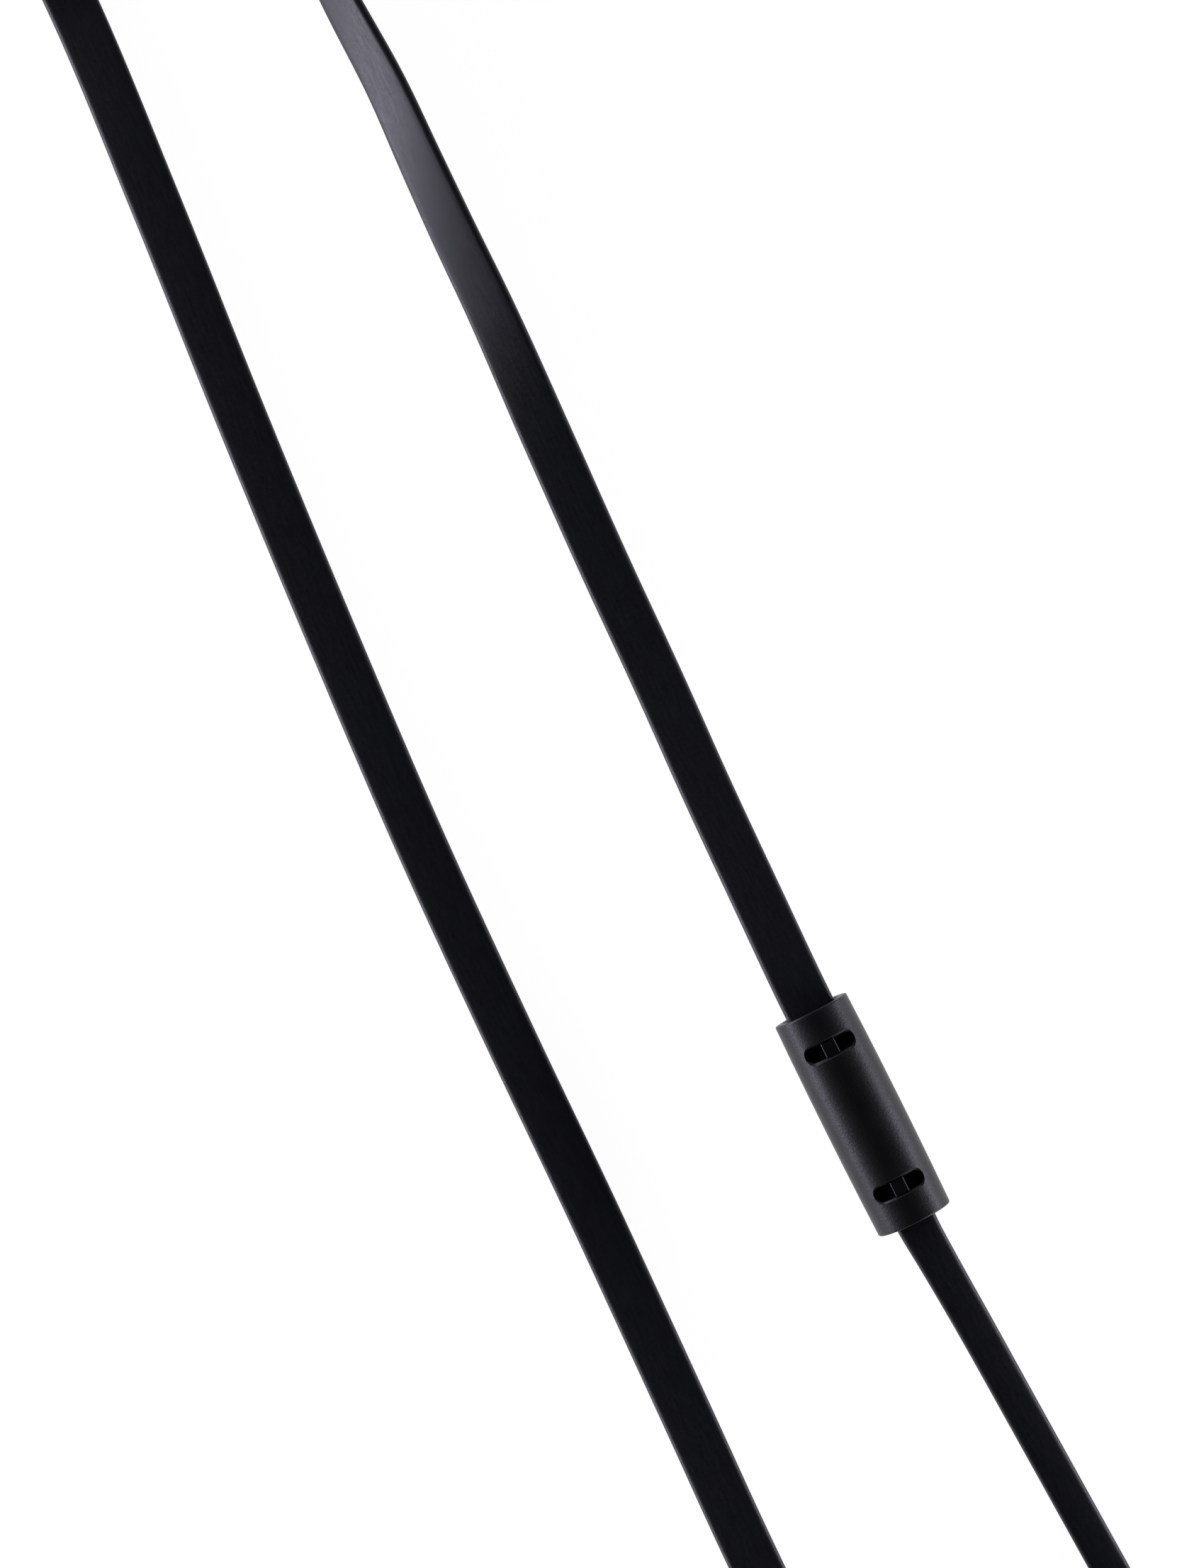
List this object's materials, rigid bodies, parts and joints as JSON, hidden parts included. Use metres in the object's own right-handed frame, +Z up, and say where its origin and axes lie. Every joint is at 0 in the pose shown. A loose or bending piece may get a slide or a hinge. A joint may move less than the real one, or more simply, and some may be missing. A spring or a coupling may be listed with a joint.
{
  "type": "neck lanyard",
  "caption": "Flat black rubber neck lanyard: a closed loop of wide and narrow strap, joined by slotted barrel connectors with sprung latch buttons.",
  "frame": {"origin": "centre of the loop's outline, on the surface that it lies on", "axes": "+Z up from the surface, +Y along the loop towards the neck strap's bight, +X across it towards the connector that is higher up the loop"},
  "size_m": [0.0453, 0.3624, 0.0094],
  "materials": {
    "strap_rubber": "smooth matte black rubber with a soft sheen",
    "sleeve_plastic": "finely grained black moulded plastic with a grey-violet sheen",
    "jaw_plastic": "plain black moulded plastic",
    "button_plastic": "smooth black moulded plastic",
    "rivet_steel": "plain drawn steel",
    "spring_steel": "rolled spring strip"
  },
  "bodies": {
    "straps": {"neck_strap": "strap_rubber", "front_strap": "strap_rubber", "right_neck_upper_jaw": "jaw_plastic", "right_neck_lower_jaw": "jaw_plastic", "right_neck_rivets": "rivet_steel", "right_neck_spring": "spring_steel", "right_front_upper_jaw": "jaw_plastic", "right_front_lower_jaw": "jaw_plastic", "right_front_rivets": "rivet_steel", "right_front_spring": "spring_steel", "left_neck_upper_jaw": "jaw_plastic", "left_neck_lower_jaw": "jaw_plastic", "left_neck_rivets": "rivet_steel", "left_neck_spring": "spring_steel", "left_front_upper_jaw": "jaw_plastic", "left_front_lower_jaw": "jaw_plastic", "left_front_rivets": "rivet_steel", "left_front_spring": "spring_steel"},
    "right_sleeve": {"right_sleeve": "sleeve_plastic"},
    "left_sleeve": {"left_sleeve": "sleeve_plastic"},
    "right_neck_button": {"right_neck_button": "button_plastic"},
    "right_front_button": {"right_front_button": "button_plastic"},
    "left_neck_button": {"left_neck_button": "button_plastic"},
    "left_front_button": {"left_front_button": "button_plastic"}
  },
  "joints": [
    {"name": "right_sleeve_turn", "type": "hinge", "parent": "straps", "child": "right_sleeve", "pos_m": [0.0165, -0.0275, 0.0047], "axis": [0, 1, 0], "range_deg": [-18, 18]},
    {"name": "left_sleeve_turn", "type": "hinge", "parent": "straps", "child": "left_sleeve", "pos_m": [-0.0179, -0.0935, 0.0047], "axis": [0, 1, 0], "range_deg": [-18, 18]},
    {"name": "right_neck_press", "type": "slide", "parent": "straps", "child": "right_neck_button", "axis": [0, 0, -1], "range_m": [0, 0.00115], "stiffness_N_per_m": 800, "springref_m": -0.0004, "deforming": ["right_neck_spring"]},
    {"name": "right_front_press", "type": "slide", "parent": "straps", "child": "right_front_button", "axis": [0, 0, -1], "range_m": [0, 0.00115], "stiffness_N_per_m": 800, "springref_m": -0.0004, "deforming": ["right_front_spring"]},
    {"name": "left_neck_press", "type": "slide", "parent": "straps", "child": "left_neck_button", "axis": [0, 0, -1], "range_m": [0, 0.00115], "stiffness_N_per_m": 800, "springref_m": -0.0004, "deforming": ["left_neck_spring"]},
    {"name": "left_front_press", "type": "slide", "parent": "straps", "child": "left_front_button", "axis": [0, 0, -1], "range_m": [0, 0.00115], "stiffness_N_per_m": 800, "springref_m": -0.0004, "deforming": ["left_front_spring"]}
  ]
}
